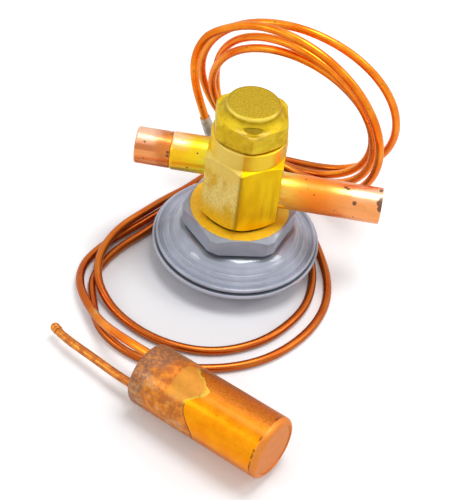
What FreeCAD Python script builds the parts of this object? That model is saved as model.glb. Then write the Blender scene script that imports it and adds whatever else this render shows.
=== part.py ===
import FreeCAD, Part
import math
import os

# Thermostatic expansion valve, straight-through, standing on its power head.
# Millimetres. +Z runs up the valve's axis, the origin is on that axis where the head
# meets the floor, and +X runs out along the lower (inlet) stub.

V = FreeCAD.Vector
UP = V(0, 0, 1)

# Clearances
thread_clearance = 0.05
slip_clearance = 0.05
seal_clearance = 0.1
running_gap = 0.3

# Power head: two pressed plates welded at the rim round a thin diaphragm
plate_thickness = 1.1
body_side_rim_radius = 32.7
charge_side_rim_radius = 34.0
rim_height = 8.4
foot_radius = 21.0
dish_radius = 29.9
diaphragm_thickness = 0.25
diaphragm_rise = 1.4
rim_lip_width = 1.4
rim_lip_lift = 0.8
first_step_radius = 30.2
second_step_radius = 28.0
third_step_radius = 25.6
step_height = 1.3
crown_radius = 19.6
hub_radius = 16.5
hub_bore_radius = 10.5
hub_height = 8.0
hub_rise = 1.2

# Nut that carries the power head on the body
nut_across_flats = 41.0
nut_corner_radius = 22.8
nut_height = 7.8
nut_turn = 41.0
nut_chamfer_drop = 1.3
nut_foot_chamfer = 0.5

# Body
body_across_flats = 30.0
body_hex_height = 31.5
collar_radius = 14.7
collar_height = 7.7
corner_chamfer = 1.3
foot_circle_radius = 14.2
foot_chamfer = 2.8
spigot_radius = 13.0
spigot_length = 6.8
chamber_radius = 8.5
chamber_floor_rise = 19.8
passage_radius = 5.0
stub_socket_depth = 5.0
inlet_rise = 12.1
outlet_rise = 23.5
neck_radius = 11.0
neck_height = 6.0

# Solder stubs for half-inch tube
stub_radius = 7.2
stub_bore_radius = 6.0
solder_socket_radius = 6.375
solder_socket_depth = 13.0
inlet_stub_length = 39.7
outlet_sleeve_radius = 7.5
outlet_sleeve_length = 14.3
outlet_groove_width = 0.9
outlet_step = 0.25
outlet_end_length = 13.8
outlet_end_overlap = 4.0
outlet_end_edge = 0.5

# Inlet strainer
strainer_radius = 4.9
strainer_wall = 0.4
strainer_length = 18.0
strainer_flange = 0.5
strainer_flange_radius = 6.6
strainer_slot_width = 1.4
strainer_slots = 8

# Port, pin and what pushes it
seat_radius = 4.5
seat_flange_radius = 5.6
seat_flange = 1.0
port_radius = 1.6
pin_radius = 2.2
pin_tip_radius = 0.8
pin_taper = 2.6
pin_length = 5.4
carrier_thickness = 1.6
carrier_hub_radius = 3.6
carrier_hub_height = 2.0
rod_radius = 1.2
rod_circle_radius = 7.0
buffer_radius = 17.0
buffer_thickness = 1.6

# Superheat spring, its seat and the adjusting stem
spring_length = 9.4
spring_radius = 5.4
spring_wire = 1.4
spring_turns = 4.0
spring_seat_thickness = 2.4
spring_seat_hub = 1.6
stem_radius = 3.0
stem_proud = 1.4
stem_dimple = 1.0
stem_slot_width = 1.0
stem_slot_depth = 1.6

# Packing gland in the neck of the body
gland_length = 5.2
gland_across_flats = 15.0
gland_head_height = 2.2
gland_gasket_thickness = 0.6
packing_radius = 5.4
packing_length = 2.2
packing_washer_thickness = 0.7

# Seal cap
cap_across_flats = 27.0
cap_corner_radius = 15.3
cap_turn = 8.0
cap_seam = 0.3
cap_side_height = 7.6
cap_ledge_height = 9.0
cap_ledge_radius = 12.9
cap_skirt_height = 11.6
cap_boss_radius = 10.4
cap_boss_edge = 1.2
cap_height = 13.9
cap_crown_thickness = 1.8
cap_pocket_radius = 9.0
cap_pocket_top_radius = 4.5
cap_seal_thickness = 0.8
cap_seal_width = 1.7

# Charge line: riser, ferrule and capillary
riser_radius = 1.9
riser_axis_height = 5.6
riser_heading = 104.0
riser_reach = 40.0
ferrule_radius = 2.3
ferrule_length = 11.5
ferrule_top_x = -20.9
ferrule_top_y = 38.5
ferrule_top_z = 37.1
capillary_diameter = 3.4
capillary_insert = 2.0

# Standing coil of the capillary, as one solid of its outer shape
coil_centre_x = 14.0
coil_centre_y = 45.4
coil_centre_z = 47.8
coil_outer_radius = 46.6
coil_inner_radius = 36.0
coil_offset = 7.0
coil_width = 18.6
coil_facing = -108.0
coil_lean = -12.0
coil_edge = 1.4

# Sensing bulb and its charging tube
bulb_radius = 12.1
bulb_length = 58.0
bulb_wall = 1.0
bulb_heading = -28.8
bulb_lift = 3.0
bulb_root_x = -22.7
bulb_root_y = -80.2
bulb_shoulder = 2.5
bulb_lip = 2.1
plug_recess = 0.25
plug_thickness = 2.6
charging_tube_radius = 1.65
charging_tube_height = 8.0
charging_tube_path = [(-1.0, -5.3), (10.0, -5.2), (22.0, -4.3), (33.0, -3.6), (39.0, -2.8), (43.0, -1.6)]
pinches = [(17.2, -4.7, 1.3), (38.2, -2.9, 1.15)]
pinch_length = 2.4
tip_bead_radius = 1.9
tip_bead_length = 1.5
capillary_side = 3.6
capillary_height = 17.5
capillary_last_run = 9.5

# Heights that follow from the sizes above
diaphragm_base = rim_height + plate_thickness
body_side_rim = diaphragm_base + diaphragm_thickness
nut_base = body_side_rim + plate_thickness + hub_height
body_foot = nut_base + nut_height
hex_top = body_foot + body_hex_height
collar_top = hex_top + collar_height
neck_top = collar_top + neck_height
chamber_floor = body_foot + chamber_floor_rise
inlet_height = body_foot + inlet_rise
outlet_height = body_foot + outlet_rise
flat_distance = body_across_flats / 2
body_corner_radius = body_across_flats / math.sqrt(3)
seat_top = chamber_floor + seat_flange
carrier_base = seat_top + pin_length - carrier_thickness
spring_base = carrier_base + carrier_thickness
spring_top = spring_base + spring_length
buffer_base = body_side_rim + diaphragm_rise
buffer_top = buffer_base + buffer_thickness
stem_base = spring_top + spring_seat_thickness - stem_dimple
gland_head_base = neck_top + gland_gasket_thickness
stem_top = gland_head_base + gland_head_height + stem_proud
capillary_radius = capillary_diameter / 2
coil_centre = V(coil_centre_x, coil_centre_y, coil_centre_z)
ferrule_top = V(ferrule_top_x, ferrule_top_y, ferrule_top_z)

# The capillary lies on the floor in two and a half loops, from the coil behind the valve
# to the bulb. Its strands rest at floor_lay and rise where one crosses another.
floor_lay = capillary_radius
over_lay = 5.4
first_loop = [
    (9, 60.4, 2.4), (-2, 58.0, 2.0), (-11, 51.0, floor_lay), (-18.4, 41.4, floor_lay),
    (-25.2, 31.4, floor_lay), (-33.2, 20.3, 3.6), (-39.6, 9.6, 5.2), (-47, -0.6, over_lay),
    (-51.6, -12.5, over_lay), (-52.4, -24.0, over_lay), (-49.8, -34.0, 4.4),
    (-43.2, -42.6, 2.2), (-34.5, -49.5, floor_lay), (-24.5, -54.6, floor_lay),
    (-13.5, -57.2, floor_lay), (-2.0, -57.0, floor_lay), (9.0, -53.0, floor_lay),
    (19.0, -46.0, floor_lay), (27.0, -36.0, floor_lay), (32.5, -25.0, floor_lay),
    (34.0, -13.0, floor_lay), (32.8, -1.5, floor_lay),
]
second_loop = [
    (29.2, 10.2, floor_lay), (22.2, 21.5, floor_lay), (11.5, 29.0, floor_lay),
    (-1.0, 31.2, floor_lay), (-13.5, 28.2, floor_lay), (-23.5, 20.6, floor_lay),
    (-31.2, 10.6, floor_lay), (-38.4, 0.4, floor_lay), (-45.2, -8.4, floor_lay),
    (-50.6, -18.4, floor_lay), (-53.4, -30.0, floor_lay), (-50.4, -41.4, floor_lay),
    (-46.6, -52.6, floor_lay), (-38.6, -60.6, floor_lay), (-28.0, -66.0, floor_lay),
    (-16.0, -67.6, floor_lay), (-3.6, -66.0, floor_lay), (8.4, -62.6, floor_lay),
    (19.6, -56.4, floor_lay), (29.2, -47.0, floor_lay), (36.6, -35.2, floor_lay),
    (40.6, -22.0, floor_lay), (40.0, -8.8, floor_lay),
]
third_loop = [
    (36.0, 4.0, floor_lay), (30.2, 17.6, floor_lay), (19.4, 29.0, floor_lay),
    (5.4, 35.0, floor_lay), (-9.6, 34.0, floor_lay), (-23.0, 27.2, floor_lay),
    (-33.6, 14.6, floor_lay), (-43.3, 2.3, floor_lay), (-51.8, -8.2, floor_lay),
    (-57.8, -19.6, floor_lay), (-58.4, -29.8, 3.0), (-55.6, -39.4, 4.6),
    (-50.2, -48.2, 5.6), (-44.6, -56.0, 7.6), (-38.4, -63.6, 12.0),
]
coil_lead = [
    (-23.7, 38.45, 45.2), (-26.7, 40.8, 53.0), (-28.2, 44.0, 61.2), (-26.3, 45.8, 69.0),
    (-21.7, 45.2, 75.9),
]


def ray(degrees, elevation=0.0):
    """Unit vector with this heading from +X and this elevation."""
    a, e = math.radians(degrees), math.radians(elevation)
    return V(math.cos(e) * math.cos(a), math.cos(e) * math.sin(a), math.sin(e))


def outline(start, *moves):
    """Closed wire in the XZ plane. A move is an (r, z) point, or a pair of points:
    one that an arc passes through, and its end."""
    at, edges = V(start[0], 0, start[1]), []
    for move in moves + (start,):
        if isinstance(move[0], tuple):
            through, end = (V(p[0], 0, p[1]) for p in move)
            edges.append(Part.Arc(at, through, end).toShape())
        else:
            end = V(move[0], 0, move[1])
            if end.distanceToPoint(at) < 1e-9:
                continue
            edges.append(Part.LineSegment(at, end).toShape())
        at = end
    return Part.Wire(edges)


def turned(start, *moves):
    """Solid of revolution about the valve's axis."""
    return Part.Face(outline(start, *moves)).revolve(V(0, 0, 0), UP, 360)


def rod(radius, base, top, x=0.0, y=0.0):
    return Part.makeCylinder(radius, top - base, V(x, y, base))


def ring(outer, inner, base, top):
    return rod(outer, base, top).cut(rod(inner, base, top))


def along_x(radius, start, end, height):
    """Cylinder parallel to X between two values of x."""
    low, high = min(start, end), max(start, end)
    return Part.makeCylinder(radius, high - low, V(low, 0, height), V(1, 0, 0))


def hexagon(across_flats, base, top, turn=0.0):
    """Hexagonal bar about the axis. With no turn, two of its flats face +X and -X."""
    corner = across_flats / math.sqrt(3)
    points = [ray(30 + 60 * k + turn) * corner + V(0, 0, base) for k in range(7)]
    return Part.Face(Part.makePolygon(points)).extrude(V(0, 0, top - base))


def placed(shape, origin, heading, elevation=0.0):
    """Turns a shape made along +X to a heading and an elevation and moves it to its place."""
    shape.rotate(V(0, 0, 0), V(0, 1, 0), -elevation)
    shape.rotate(V(0, 0, 0), UP, heading)
    shape.translate(origin)
    return shape


def runs_and_arcs(points):
    """Wire through a route's points, each corner rounded by the largest arc that its two
    runs allow; also gives the smallest radius and the length."""
    edges, start, radii = [], points[0], []
    for before, corner, after in zip(points, points[1:], points[2:]):
        back, ahead = (before - corner), (after - corner)
        shorter = min(back.Length, ahead.Length)
        back, ahead = back.normalize(), ahead.normalize()
        half_turn = (math.pi - back.getAngle(ahead)) / 2
        trim = 0.45 * shorter
        radius = trim / math.tan(half_turn)
        middle = (back + ahead).normalize() * (radius / math.cos(half_turn) - radius)
        edges.append(Part.LineSegment(start, corner + back * trim).toShape())
        edges.append(Part.Arc(corner + back * trim, corner + middle, corner + ahead * trim).toShape())
        start = corner + ahead * trim
        radii.append(radius)
    edges.append(Part.LineSegment(start, points[-1]).toShape())
    wire = Part.Wire(edges)
    return wire, min(radii, default=0.0), wire.Length


def tube_along(name, points, radius):
    points = [V(*p) if isinstance(p, tuple) else p for p in points]
    wire, tightest, length = runs_and_arcs(points)
    heading = (points[1] - points[0]).normalize()
    section = Part.Wire(Part.Circle(points[0], heading, radius).toShape())
    solid = wire.makePipeShell([section], True, False)
    share = solid.Volume / (math.pi * radius**2 * length)
    print(f"{name}: {length:.1f} mm long, smallest arc {tightest:.1f} mm, volume share {share:.4f}")
    return solid


# Power head

def head_charge_side_plate():
    """Lower plate: a flat foot, a steep wall up to the rim, and a hole for the riser."""
    t, r, z = plate_thickness, dish_radius, rim_height
    corner = 0.293 * (r - foot_radius)
    plate = turned(
        (0, 0), (foot_radius, 0), ((r - corner, corner * 0.62), (r, z - 1.6)), (r + 1.0, z),
        (charge_side_rim_radius, z), (charge_side_rim_radius, z + t), (r + 1.0 - t, z + t),
        (r - t, z - 1.0), ((r - corner - t * 0.75, corner * 0.62 + t * 0.75), (foot_radius, t)), (0, t),
    )
    start = ray(riser_heading) * (r - 4) + V(0, 0, riser_axis_height)
    hole = Part.makeCylinder(riser_radius + slip_clearance, 6, start, ray(riser_heading))
    return plate.cut(hole)


def head_body_side_plate():
    """Upper plate: a rim whose lip curls up, three pressed steps, a dome and the hub that
    carries the nut."""
    t, low = plate_thickness, body_side_rim
    top, step = low + t, step_height
    a, b, c = first_step_radius, second_step_radius, third_step_radius
    bend = 0.5
    rim, curl, lift = body_side_rim_radius, rim_lip_width, rim_lip_lift
    hub, crown = nut_base, nut_base - hub_rise
    bulge = ((crown_radius + c - bend) / 2 + 0.36, (top + 3 * step + crown) / 2 + 0.42)
    return turned(
        (rim - curl, low), ((rim - 0.3 * curl, low + 0.3 * lift), (rim, low + lift)), (rim, low + lift + 0.3 * t),
        ((rim - 0.2 * t, top + 0.8 * lift), (rim - 0.8 * t, top + lift)), (rim - curl - 0.3 * t, top),
        (a + bend, top), (a - bend, top + step), (b + bend, top + step), (b - bend, top + 2 * step),
        (c + bend, top + 2 * step), (c - bend, top + 3 * step), (bulge, (crown_radius, crown)),
        (hub_radius, crown), (hub_radius, hub), (hub_bore_radius, hub), (hub_bore_radius, hub - t),
        (hub_radius - t, hub - t), (hub_radius - t, crown - t), (crown_radius - t * 0.4, crown - t),
        ((bulge[0] - t, bulge[1] - t * 0.55), (c - bend - t, low + 3 * step)),
        (c + bend - t * 0.6, low + 2 * step), (b - bend - t * 0.6, low + 2 * step),
        (b + bend - t * 0.6, low + step), (a - bend - t * 0.6, low + step), (a + bend - t * 0.6, low),
    )


def head_diaphragm():
    """Thin disc clamped at the rim, with one corrugation and a raised flat middle."""
    t, low, up = diaphragm_thickness, diaphragm_base, diaphragm_base + diaphragm_rise
    flat = buffer_radius + 1.5
    rim = body_side_rim_radius - rim_lip_width
    return turned(
        (0, up), (flat, up), (flat + 3, low), (rim, low), (rim, low + t), (flat + 3 + t, low + t),
        (flat + t, up + t), (0, up + t),
    )


def head_nut():
    """Hexagon nut brazed to the upper plate, its corners and its top face turned."""
    low, top, corner, edge = nut_base, body_foot, nut_corner_radius, nut_foot_chamfer
    bar = hexagon(nut_across_flats, low, top, nut_turn)
    bar = bar.common(turned(
        (0, low), (corner - edge, low), (corner, low + edge), (corner, top - nut_chamfer_drop),
        (nut_across_flats / 2, top), (0, top),
    ))
    return bar.cut(rod(spigot_radius + thread_clearance, low, top))


def head_gasket():
    """Flat ring pinched between the end of the body's spigot and the upper plate's hub."""
    return ring(spigot_radius, hub_bore_radius, nut_base, body_foot - spigot_length)


# Body and stubs

def valve_body():
    corner = body_corner_radius + 0.5
    chamfer = corner_chamfer * (corner - collar_radius) / (body_corner_radius - collar_radius)
    foot_rise = foot_chamfer * (corner - foot_circle_radius) / (body_corner_radius - foot_circle_radius)
    profile = turned(
        (0, body_foot), (foot_circle_radius, body_foot), (corner, body_foot + foot_rise),
        (corner, hex_top - chamfer), (collar_radius, hex_top), (0, hex_top),
    )
    solid = hexagon(body_across_flats, body_foot, hex_top).common(profile)
    solid = solid.fuse(turned(
        (0, hex_top), (collar_radius, hex_top), (collar_radius, collar_top - 0.4),
        (collar_radius - 0.4, collar_top), (neck_radius, collar_top), (neck_radius, neck_top - 0.8),
        (neck_radius - 0.8, neck_top), (0, neck_top),
    ))
    spigot_end = body_foot - spigot_length
    solid = solid.fuse(turned(
        (0, spigot_end), (spigot_radius - 0.6, spigot_end), (spigot_radius, spigot_end + 0.6),
        (spigot_radius, body_foot), (0, body_foot),
    ))
    cuts = [
        rod(chamber_radius, chamber_floor, neck_top),
        rod(seat_radius + slip_clearance, inlet_height, chamber_floor),
        along_x(passage_radius, -passage_radius, flat_distance, inlet_height),
        along_x(passage_radius, -flat_distance, 0, outlet_height),
        along_x(stub_radius + slip_clearance, flat_distance - stub_socket_depth, flat_distance + 1, inlet_height),
        along_x(stub_radius + slip_clearance, -flat_distance - 1, stub_socket_depth - flat_distance, outlet_height),
        rod(spigot_radius - 4, spigot_end, spigot_end + 2),
    ]
    for side in (-1, 1):
        bore = rod_radius + slip_clearance
        cuts.append(rod(bore, spigot_end, chamber_floor, 0, side * rod_circle_radius))
    return solid.cut(cuts).removeSplitter()


def inlet_stub():
    """Copper tube with a solder socket at its free end."""
    root = flat_distance - stub_socket_depth + strainer_flange
    end = flat_distance + inlet_stub_length
    tube = along_x(stub_radius, root, end, inlet_height)
    tube = tube.cut(along_x(stub_bore_radius, root, end, inlet_height))
    return tube.cut(along_x(solder_socket_radius, end - solder_socket_depth, end, inlet_height))


def outlet_sleeve():
    """Sleeve between the body and the outlet's copper end; it steps down into the body, and
    its free end is chamfered, which leaves a groove before the copper."""
    face = -flat_distance
    end = face - outlet_sleeve_length
    h, inner = outlet_height, stub_radius - outlet_step
    chamfer = outlet_sleeve_radius - inner - slip_clearance
    solid = along_x(stub_radius, face + stub_socket_depth, face, h)
    solid = solid.fuse(along_x(outlet_sleeve_radius, face, end + outlet_groove_width, h))
    cone = Part.makeCone(
        outlet_sleeve_radius, outlet_sleeve_radius - chamfer, outlet_groove_width,
        V(end + outlet_groove_width, 0, h), V(-1, 0, 0),
    )
    solid = solid.fuse(cone)
    solid = solid.cut(along_x(stub_bore_radius, face + stub_socket_depth, end, h))
    return solid.cut(along_x(inner, end + outlet_end_overlap, end, h))


def outlet_stub():
    """Copper end of the outlet; its root sits in the sleeve and its mouth is a solder socket."""
    step = -flat_distance - outlet_sleeve_length
    end = step - outlet_end_length
    h, edge = outlet_height, outlet_end_edge
    root_radius = stub_radius - outlet_step - slip_clearance
    solid = along_x(root_radius, step + outlet_end_overlap, step, h)
    solid = solid.fuse(along_x(stub_radius, step, end + edge, h))
    solid = solid.fuse(Part.makeCone(stub_radius, stub_radius - edge, edge, V(end + edge, 0, h), V(-1, 0, 0)))
    solid = solid.cut(along_x(stub_bore_radius, step + outlet_end_overlap, end, h))
    return solid.cut(along_x(solder_socket_radius, end + solder_socket_depth, end, h))


def inlet_strainer():
    """Slotted cup in the inlet; the stub pinches its flange against the floor of the socket."""
    root, h = flat_distance - stub_socket_depth, inlet_height
    end = root + strainer_length
    bore = strainer_radius - strainer_wall
    cup = along_x(strainer_radius, root, end, h)
    cup = cup.fuse(along_x(strainer_flange_radius, root, root + strainer_flange, h))
    cup = cup.cut(along_x(bore, root, end - strainer_wall, h))
    slot_start, slot_end = root + 3, end - 2.5
    for k in range(strainer_slots // 2):
        slot = Part.makeBox(
            slot_end - slot_start, 2 * strainer_radius + 1, strainer_slot_width,
            V(slot_start, -strainer_radius - 0.5, h - strainer_slot_width / 2),
        )
        slot.rotate(V(0, 0, h), V(1, 0, 0), 360 / strainer_slots * (k + 0.5))
        cup = cup.cut(slot)
    return cup


# Port and pin

def taper_radius(z):
    """Radius of the pin's taper at a height, with the pin on its seat."""
    tip = seat_top + pin_radius_height - pin_taper
    return pin_tip_radius + (pin_radius - pin_tip_radius) * (z - tip) / pin_taper


pin_radius_height = pin_taper * (pin_radius - port_radius) / (pin_radius - pin_tip_radius) - 0.5


def valve_seat():
    low = inlet_height + math.sqrt(passage_radius**2 - seat_radius**2)
    mouth = seat_top - 1.2
    gap = slip_clearance
    solid = turned(
        (port_radius, low), (seat_radius, low), (seat_radius, chamber_floor),
        (seat_flange_radius, chamber_floor), (seat_flange_radius, seat_top),
        (max(port_radius, taper_radius(seat_top)) + gap, seat_top),
        (max(port_radius, taper_radius(mouth)) + gap, mouth), (port_radius + gap, mouth),
    )
    return solid


def valve_pin():
    wide = seat_top + pin_radius_height
    return turned(
        (0, wide - pin_taper), (pin_tip_radius, wide - pin_taper), (pin_radius, wide),
        (pin_radius, spring_base + carrier_hub_height - 0.6), (0, spring_base + carrier_hub_height - 0.6),
    )


def pin_carrier():
    """Disc that the rods lift; the pin is pressed into its hub and the spring sits round it."""
    radius = chamber_radius - slip_clearance
    top = spring_base + carrier_hub_height
    disc = turned(
        (0, carrier_base), (radius, carrier_base), (radius, spring_base), (carrier_hub_radius, spring_base),
        (carrier_hub_radius, top), (0, top),
    )
    return disc.cut(rod(pin_radius, carrier_base, top - 0.6))


def push_rod(side):
    """Rod through the body, from the buffer plate to the pin carrier."""
    return rod(rod_radius, buffer_top, carrier_base, 0, side * rod_circle_radius)


def buffer_plate():
    """Stiff plate that spreads the diaphragm's push over the rods."""
    return turned(
        (0, buffer_base), (buffer_radius - 0.5, buffer_base), (buffer_radius, buffer_base + 0.5),
        (buffer_radius, buffer_top), (0, buffer_top),
    )


# Spring, stem and gland

def superheat_spring():
    """Closed round-wire spring, its ends ground flat."""
    wire_radius = spring_wire / 2
    centre = spring_radius
    pitch = (spring_length - spring_wire) / spring_turns
    helix = Part.makeHelix(pitch, pitch * (spring_turns + 1), centre)
    helix.translate(V(0, 0, spring_base + wire_radius - pitch / 2))
    start = V(centre, 0, spring_base + wire_radius - pitch / 2)
    heading = V(0, 2 * math.pi * centre, pitch)
    section = Part.Wire(Part.Circle(start, heading, wire_radius).toShape())
    coil = Part.Wire(helix.Edges).makePipeShell([section], True, True)
    return coil.common(ring(chamber_radius, 1, spring_base + 0.02, spring_top - 0.02))


def spring_seat():
    radius = chamber_radius - slip_clearance
    top = spring_top + spring_seat_thickness
    seat = turned(
        (0, spring_top - spring_seat_hub), (carrier_hub_radius, spring_top - spring_seat_hub),
        (carrier_hub_radius, spring_top), (radius, spring_top), (radius, top), (0, top),
    )
    return seat.cut(rod(stem_radius + slip_clearance, stem_base - 0.02, top))


def adjusting_stem():
    """Screw through the gland; its lower end presses on the spring's seat."""
    stem = turned(
        (0, stem_base), (stem_radius - 0.5, stem_base), (stem_radius, stem_base + 0.5),
        (stem_radius, stem_top - 0.4), (stem_radius - 0.4, stem_top), (0, stem_top),
    )
    slot = Part.makeBox(
        2 * stem_radius + 2, stem_slot_width, stem_slot_depth + 1,
        V(-stem_radius - 1, -stem_slot_width / 2, stem_top - stem_slot_depth),
    )
    return stem.cut(slot)


def packing_gland():
    """Screwed plug that closes the chamber and guides the stem."""
    head_base = gland_head_base
    plug = rod(chamber_radius - thread_clearance, neck_top - gland_length, head_base)
    head = hexagon(gland_across_flats, head_base, head_base + gland_head_height)
    flange = rod(chamber_radius + 0.3, head_base, head_base + 0.8)
    gland = plug.fuse([head, flange])
    pocket = packing_length + packing_washer_thickness + 0.2
    base = neck_top - gland_length
    gland = gland.cut(rod(stem_radius + thread_clearance, base, head_base + gland_head_height))
    return gland.cut(rod(packing_radius + seal_clearance, base, base + pocket)).removeSplitter()


def stem_packing():
    base = neck_top - gland_length + packing_washer_thickness + 0.1
    return ring(packing_radius, stem_radius + seal_clearance, base, base + packing_length)


def packing_washer():
    base = neck_top - gland_length
    return ring(packing_radius, stem_radius + seal_clearance, base, base + packing_washer_thickness)


def gland_gasket():
    return ring(chamber_radius + 0.3, chamber_radius - thread_clearance + 0.02, neck_top, neck_top + gland_gasket_thickness)


# Seal cap

def seal_cap():
    """Blind hexagon cap. A round skirt rises from a ledge that shows at the corners, and
    ends in a boss with a rounded edge."""
    base = collar_top + cap_seam
    top = base + cap_height
    flat, corner, boss, edge = cap_across_flats / 2, cap_corner_radius, cap_boss_radius, cap_boss_edge
    ledge, skirt = base + cap_ledge_height, base + cap_skirt_height
    profile = turned(
        (0, base), (flat - 0.3, base), (corner, base + 1.2), (corner, base + cap_side_height),
        (corner - 0.8, ledge), (cap_ledge_radius, ledge - 0.2), (boss, skirt),
        (boss, top - edge), ((boss - 0.3 * edge, top - 0.3 * edge), (boss - edge, top)), (0, top),
    )
    solid = hexagon(cap_across_flats, base, top, cap_turn).common(profile)
    thread_top = neck_top + 0.8
    pocket_top = top - cap_crown_thickness
    slope = cap_pocket_radius - cap_pocket_top_radius
    hollow = turned(
        (0, base), (neck_radius + thread_clearance, base), (neck_radius + thread_clearance, thread_top),
        (cap_pocket_radius, thread_top + 0.6), (cap_pocket_radius, pocket_top - slope * 0.7),
        (cap_pocket_top_radius, pocket_top), (0, pocket_top),
    )
    recess_radius = neck_radius + seal_clearance + cap_seal_width + seal_clearance
    recess = rod(recess_radius, base, collar_top + cap_seal_thickness)
    return solid.cut([hollow, recess])


def cap_seal():
    """Flat ring on the collar's face, under the cap."""
    inner = neck_radius + seal_clearance
    return ring(inner + cap_seal_width, inner, collar_top, collar_top + cap_seal_thickness)


# Charge line

def riser_route():
    """Out of the head's wall under the rim, then up behind the body to the capillary."""
    out = ray(riser_heading)
    start = out * (dish_radius - plate_thickness - 0.6) + V(0, 0, riser_axis_height)
    corner = out * riser_reach + V(0, 0, riser_axis_height)
    return start, corner


def ferrule_ends():
    """Bottom and top of the ferrule, on the line from the riser's corner."""
    heading = (ferrule_top - riser_route()[1]).normalize()
    return ferrule_top - heading * ferrule_length, ferrule_top, heading


def charge_riser():
    start, corner = riser_route()
    low, top, heading = ferrule_ends()
    end = low + heading * (ferrule_length / 2)
    out = (corner - start).normalize()
    half_turn = out.getAngle(heading) / 2
    trim = riser_reach - charge_side_rim_radius - 0.6
    radius = trim / math.tan(half_turn)
    middle = (heading - out).normalize() * (radius / math.cos(half_turn) - radius)
    bend = [corner - out * trim, corner + middle, corner + heading * trim]
    path = Part.Wire([
        Part.LineSegment(start, bend[0]).toShape(),
        Part.Arc(*bend).toShape(),
        Part.LineSegment(bend[2], end).toShape(),
    ])
    section = Part.Wire(Part.Circle(start, out, riser_radius).toShape())
    return path.makePipeShell([section], True, False)


def braze_ferrule():
    """Sleeve over the joint of riser and capillary, tapered at both ends."""
    low, top, heading = ferrule_ends()
    length, taper = ferrule_length, 2.0
    small = riser_radius + slip_clearance
    sleeve = turned(
        (0, 0), (small + 0.15, 0), (ferrule_radius, taper), (ferrule_radius, length - taper),
        (small + 0.15, length), (0, length),
    )
    half = length / 2
    sleeve = sleeve.cut([
        rod(small, 0, half),
        rod(capillary_radius + slip_clearance, length - capillary_insert - slip_clearance, length),
    ])
    turn = FreeCAD.Rotation(UP, heading)
    sleeve.Placement = FreeCAD.Placement(low, turn)
    return sleeve


def capillary_lead():
    low, top, heading = ferrule_ends()
    start = top - heading * capillary_insert
    return tube_along("capillary_lead", [start] + coil_lead, capillary_radius)


def capillary_coil():
    """Outer shape of the standing turns: a hoop that is wide at the top, where the turns
    spread, and narrow at the floor, where they lie side by side."""
    normal = ray(coil_facing, coil_lean)
    half = normal * (coil_width / 2)
    rise = (UP - normal * UP.dot(normal)).normalize()
    outer = Part.makeCylinder(coil_outer_radius, coil_width, coil_centre - half, normal)
    inner_centre = coil_centre - rise * coil_offset
    inner = Part.makeCylinder(coil_inner_radius, coil_width, inner_centre - half, normal)
    hoop = outer.cut(inner)
    round_edges = [edge for edge in hoop.Edges if isinstance(edge.Curve, Part.Circle)]
    return hoop.makeChamfer(coil_edge, round_edges)


# Sensing bulb

bulb_ahead = ray(bulb_heading, bulb_lift)
bulb_aside = ray(bulb_heading + 90)
bulb_up = bulb_ahead.cross(bulb_aside)
bulb_root = V(
    bulb_root_x, bulb_root_y,
    bulb_shoulder + (bulb_radius - bulb_shoulder) * bulb_up.z - bulb_shoulder * bulb_ahead.z,
)


def bulb_point(side, height, out=0.0):
    """Point of the bulb's root face, at this height over its lowest line, or outside it."""
    return bulb_root + bulb_aside * side + bulb_up * (height - bulb_radius) - bulb_ahead * out


def lathe_x(start, *moves):
    """Solid of revolution about X; moves are (radius, x) as in turned()."""
    solid = turned(start, *moves)
    solid.rotate(V(0, 0, 0), V(0, 1, 0), 90)
    return solid


def bulb_shell():
    """Drawn cup with rounded shoulders at its root; the other end is curled over the plug."""
    r, w, s, end, lip = bulb_radius, bulb_wall, bulb_shoulder, bulb_length, bulb_lip
    near, curl = 1 - math.sqrt(0.5), lip - bulb_wall
    shell = lathe_x(
        (0, 0), (r - s, 0), ((r - s * near, s * near), (r, s)), (r, end - lip),
        ((r - lip * near, end - lip * near), (r - lip, end)), (r - lip - 0.3, end), (r - lip - 0.3, end - w),
        (r - lip, end - w), ((r - w - curl * near, end - w - curl * near), (r - w, end - lip)),
        (r - w, s), ((r - w - (s - w) * near, w + (s - w) * near), (r - s, w)), (0, w),
    )
    shell = placed(shell, bulb_root, bulb_heading, bulb_lift)
    holes = []
    tube_side = charging_tube_path[0][1]
    for side, height, radius in (
        (capillary_side, capillary_height, capillary_radius),
        (tube_side, charging_tube_height, charging_tube_radius),
    ):
        start = bulb_point(side, height, 1)
        holes.append(Part.makeCylinder(radius + slip_clearance, bulb_wall + 2, start, bulb_ahead))
    return shell.cut(holes)


def bulb_plug():
    """Stepped disc soldered inside the curled end, its face almost flush with the lip."""
    front = bulb_length - plug_recess
    back = front - plug_thickness
    inner = bulb_radius - bulb_wall - slip_clearance
    face = bulb_radius - bulb_lip - 0.3 - slip_clearance
    curl, under = bulb_length - bulb_lip, bulb_length - bulb_wall
    plug = lathe_x((0, back), (inner, back), (inner, curl), (face + 0.1, under), (face, under), (face, front), (0, front))
    return placed(plug, bulb_root, bulb_heading, bulb_lift)


def charging_tube():
    """Filling tube of the bulb: nearly straight, pinched in two places and closed by a bead."""
    points = [bulb_point(side, charging_tube_height, out) for out, side in charging_tube_path]
    tube = tube_along("charging_tube", points, charging_tube_radius)
    wide = 2 * charging_tube_radius
    for out, side, half in pinches:
        for sign in (-1, 1):
            flat = Part.makeBox(pinch_length, wide, 2 * wide, V(-pinch_length / 2, -wide / 2, -wide))
            flat.translate(V(0, sign * (half + wide / 2), 0))
            middle = bulb_point(side, charging_tube_height, out)
            tube = tube.cut(placed(flat, middle, bulb_heading, bulb_lift))
    ahead = (points[-1] - points[-2]).normalize()
    for centre in (points[-1], points[-1] - ahead * tip_bead_length):
        tube = tube.fuse(Part.makeSphere(tip_bead_radius, centre))
    return tube.removeSplitter()


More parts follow.
